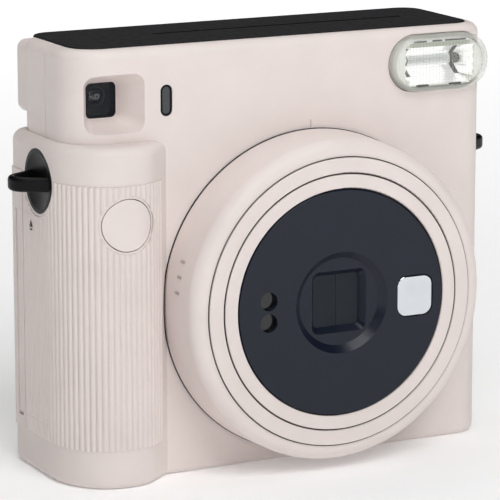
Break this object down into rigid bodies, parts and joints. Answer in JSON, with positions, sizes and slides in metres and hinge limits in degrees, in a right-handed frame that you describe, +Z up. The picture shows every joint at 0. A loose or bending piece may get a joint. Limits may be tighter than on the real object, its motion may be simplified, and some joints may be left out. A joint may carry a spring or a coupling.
{
  "type": "instant camera",
  "caption": "Square-format instant camera with a turning lens dial, retracting barrel, ribbed grip, forward shutter button, clear flash, viewfinder and top picture slot.",
  "frame": {"origin": "middle of the camera's bounding box at the base it stands on", "axes": "+X to the right as seen from the front, +Y towards the back door, +Z up; the lens looks along -Y"},
  "size_m": [0.1464, 0.0576, 0.1186],
  "materials": {
    "shell": "fine satin texture",
    "grip": "fine satin texture",
    "dial": "satin",
    "barrel": "satin",
    "plate_black": "matte",
    "face_black": "gloss",
    "trim_black": "satin",
    "cover_metal": "satin black",
    "mirror": "polished",
    "smoked": "polished",
    "clear": "polished",
    "reflector": "polished",
    "inner_black": "matte",
    "steel": "brushed",
    "white_plastic": "satin",
    "board": "lacquered",
    "capacitor": "sleeved",
    "battery": "printed wrap",
    "film": "gloss",
    "pack": "matte",
    "brass": "machined"
  },
  "bodies": {
    "case": {"front_cover": "shell", "rear_cover": "shell", "grip_cover": "grip", "top_plate": "plate_black", "lens_seat": "inner_black", "dark_chamber": "inner_black", "film_chassis": "inner_black", "film_pack": "pack", "film_sheets": "film", "roller_brackets": "steel", "motor": "steel", "gear_plate": "steel", "finder_window": "smoked", "finder_tunnel": "inner_black", "eyepiece_frame": "trim_black", "eyepiece_lens": "smoked", "meter_window": "smoked", "flash_window": "clear", "flash_reflector": "reflector", "flash_tube": "clear", "flash_board": "board", "flash_capacitor": "capacitor", "battery_holder": "inner_black", "batteries": "battery", "battery_contacts": "steel", "main_board": "board", "shutter_switch": "board", "button_spring": "steel", "strap_lugs": "trim_black", "case_screws": "steel", "hinge_pins": "steel"},
    "dial": {"lens_dial": "dial"},
    "outer_ring": {"outer_barrel": "barrel"},
    "inner_ring": {"inner_barrel": "barrel", "lens_face": "face_black", "selfie_mirror": "mirror", "sensor_windows": "smoked", "cover_track": "inner_black", "front_lens": "clear", "rear_lens": "clear", "shutter_plate": "inner_black", "shutter_cover": "inner_black"},
    "cover_left": {"lens_cover_left": "cover_metal"},
    "cover_right": {"lens_cover_right": "cover_metal"},
    "blade_left": {"shutter_blade_left": "cover_metal"},
    "blade_right": {"shutter_blade_right": "cover_metal"},
    "button": {"shutter_button": "shell"},
    "door": {"back_door": "shell", "door_windows": "smoked", "pressure_springs": "steel"},
    "counter": {"counter_disc": "white_plastic"},
    "latch": {"door_latch": "trim_black"},
    "battery_lid": {"battery_door": "grip"},
    "flap": {"exit_flap": "inner_black"},
    "drive": {"drive_roller": "steel", "roller_gear": "white_plastic"},
    "pinch": {"pinch_roller": "steel"},
    "reduction": {"reduction_gear": "white_plastic"},
    "pinion": {"motor_pinion": "brass"},
    "claw": {"pick_claw": "steel"}
  },
  "joints": [
    {"name": "dial_turn", "type": "hinge", "parent": "case", "child": "dial", "pos_m": [0.0092, 0, 0.04775], "axis": [0, 1, 0], "range_deg": [0, 90]},
    {"name": "outer_barrel_slide", "type": "slide", "parent": "case", "child": "outer_ring", "axis": [0, -1, 0], "range_m": [0, 0.005]},
    {"name": "inner_barrel_slide", "type": "slide", "parent": "outer_ring", "child": "inner_ring", "axis": [0, -1, 0], "range_m": [0, 0.005]},
    {"name": "cover_left_slide", "type": "slide", "parent": "inner_ring", "child": "cover_left", "axis": [-1, 0, 0], "range_m": [0, 0.0073]},
    {"name": "cover_right_slide", "type": "slide", "parent": "inner_ring", "child": "cover_right", "axis": [1, 0, 0], "range_m": [0, 0.0073]},
    {"name": "shutter_left_swing", "type": "hinge", "parent": "inner_ring", "child": "blade_left", "pos_m": [0.0066, -0.01705, 0.05925], "axis": [0, 1, 0], "range_deg": [0, 43], "stiffness_Nm_per_rad": 0.0005, "springref_deg": -5.73},
    {"name": "shutter_right_swing", "type": "hinge", "parent": "inner_ring", "child": "blade_right", "pos_m": [0.0118, -0.01655, 0.05925], "axis": [0, -1, 0], "range_deg": [0, 43]},
    {"name": "shutter_press", "type": "slide", "parent": "case", "child": "button", "axis": [0, 1, 0], "range_m": [0, 0.0009], "stiffness_N_per_m": 400, "springref_m": -0.001, "deforming": ["button_spring"]},
    {"name": "back_door_hinge", "type": "hinge", "parent": "case", "child": "door", "pos_m": [0.058, 0.0256, 0.058], "axis": [0, 0, -1], "range_deg": [0, 95]},
    {"name": "counter_turn", "type": "hinge", "parent": "door", "child": "counter", "pos_m": [0.036, 0.024, 0.02], "axis": [0, 1, 0], "range_deg": [0, 300]},
    {"name": "latch_slide", "type": "slide", "parent": "case", "child": "latch", "axis": [0, 0, 1], "range_m": [0, 0.003], "stiffness_N_per_m": 150, "springref_m": -0.001},
    {"name": "battery_door_hinge", "type": "hinge", "parent": "case", "child": "battery_lid", "pos_m": [-0.06405, 0.0196, 0.04355], "axis": [0, 0, -1], "range_deg": [0, 90]},
    {"name": "exit_flap_swing", "type": "hinge", "parent": "case", "child": "flap", "pos_m": [0.0095, 0.0089, 0.1136], "axis": [1, 0, 0], "range_deg": [0, 80], "stiffness_Nm_per_rad": 0.0004, "springref_deg": -11.46},
    {"name": "roller_spin", "type": "hinge", "parent": "case", "child": "drive", "pos_m": [0.01, 0.00798, 0.1055], "axis": [1, 0, 0], "continuous": true},
    {"name": "pinch_spin", "type": "hinge", "parent": "case", "child": "pinch", "pos_m": [0.01, 0.01322, 0.1055], "axis": [1, 0, 0], "continuous": true},
    {"name": "reduction_spin", "type": "hinge", "parent": "case", "child": "reduction", "pos_m": [0.0555, 0.00885, 0.09654], "axis": [1, 0, 0], "continuous": true},
    {"name": "pinion_spin", "type": "hinge", "parent": "case", "child": "pinion", "pos_m": [0.0555, -0.0005, 0.093], "axis": [1, 0, 0], "continuous": true},
    {"name": "pick_claw_slide", "type": "slide", "parent": "case", "child": "claw", "axis": [0, 0, 1], "range_m": [0, 0.006], "stiffness_N_per_m": 20, "springref_m": -0.002}
  ],
  "couplings": [
    {"joint": "outer_barrel_slide", "follows": "dial_turn", "m_per_rad": 0.003183},
    {"joint": "inner_barrel_slide", "follows": "dial_turn", "m_per_rad": 0.003183},
    {"joint": "cover_left_slide", "follows": "dial_turn", "m_per_rad": 0.0046473},
    {"joint": "cover_right_slide", "follows": "dial_turn", "m_per_rad": 0.0046473},
    {"joint": "shutter_right_swing", "follows": "shutter_left_swing", "ratio": 1},
    {"joint": "pinch_spin", "follows": "roller_spin", "ratio": -1},
    {"joint": "reduction_spin", "follows": "roller_spin", "ratio": -2},
    {"joint": "pinion_spin", "follows": "roller_spin", "ratio": 6}
  ]
}
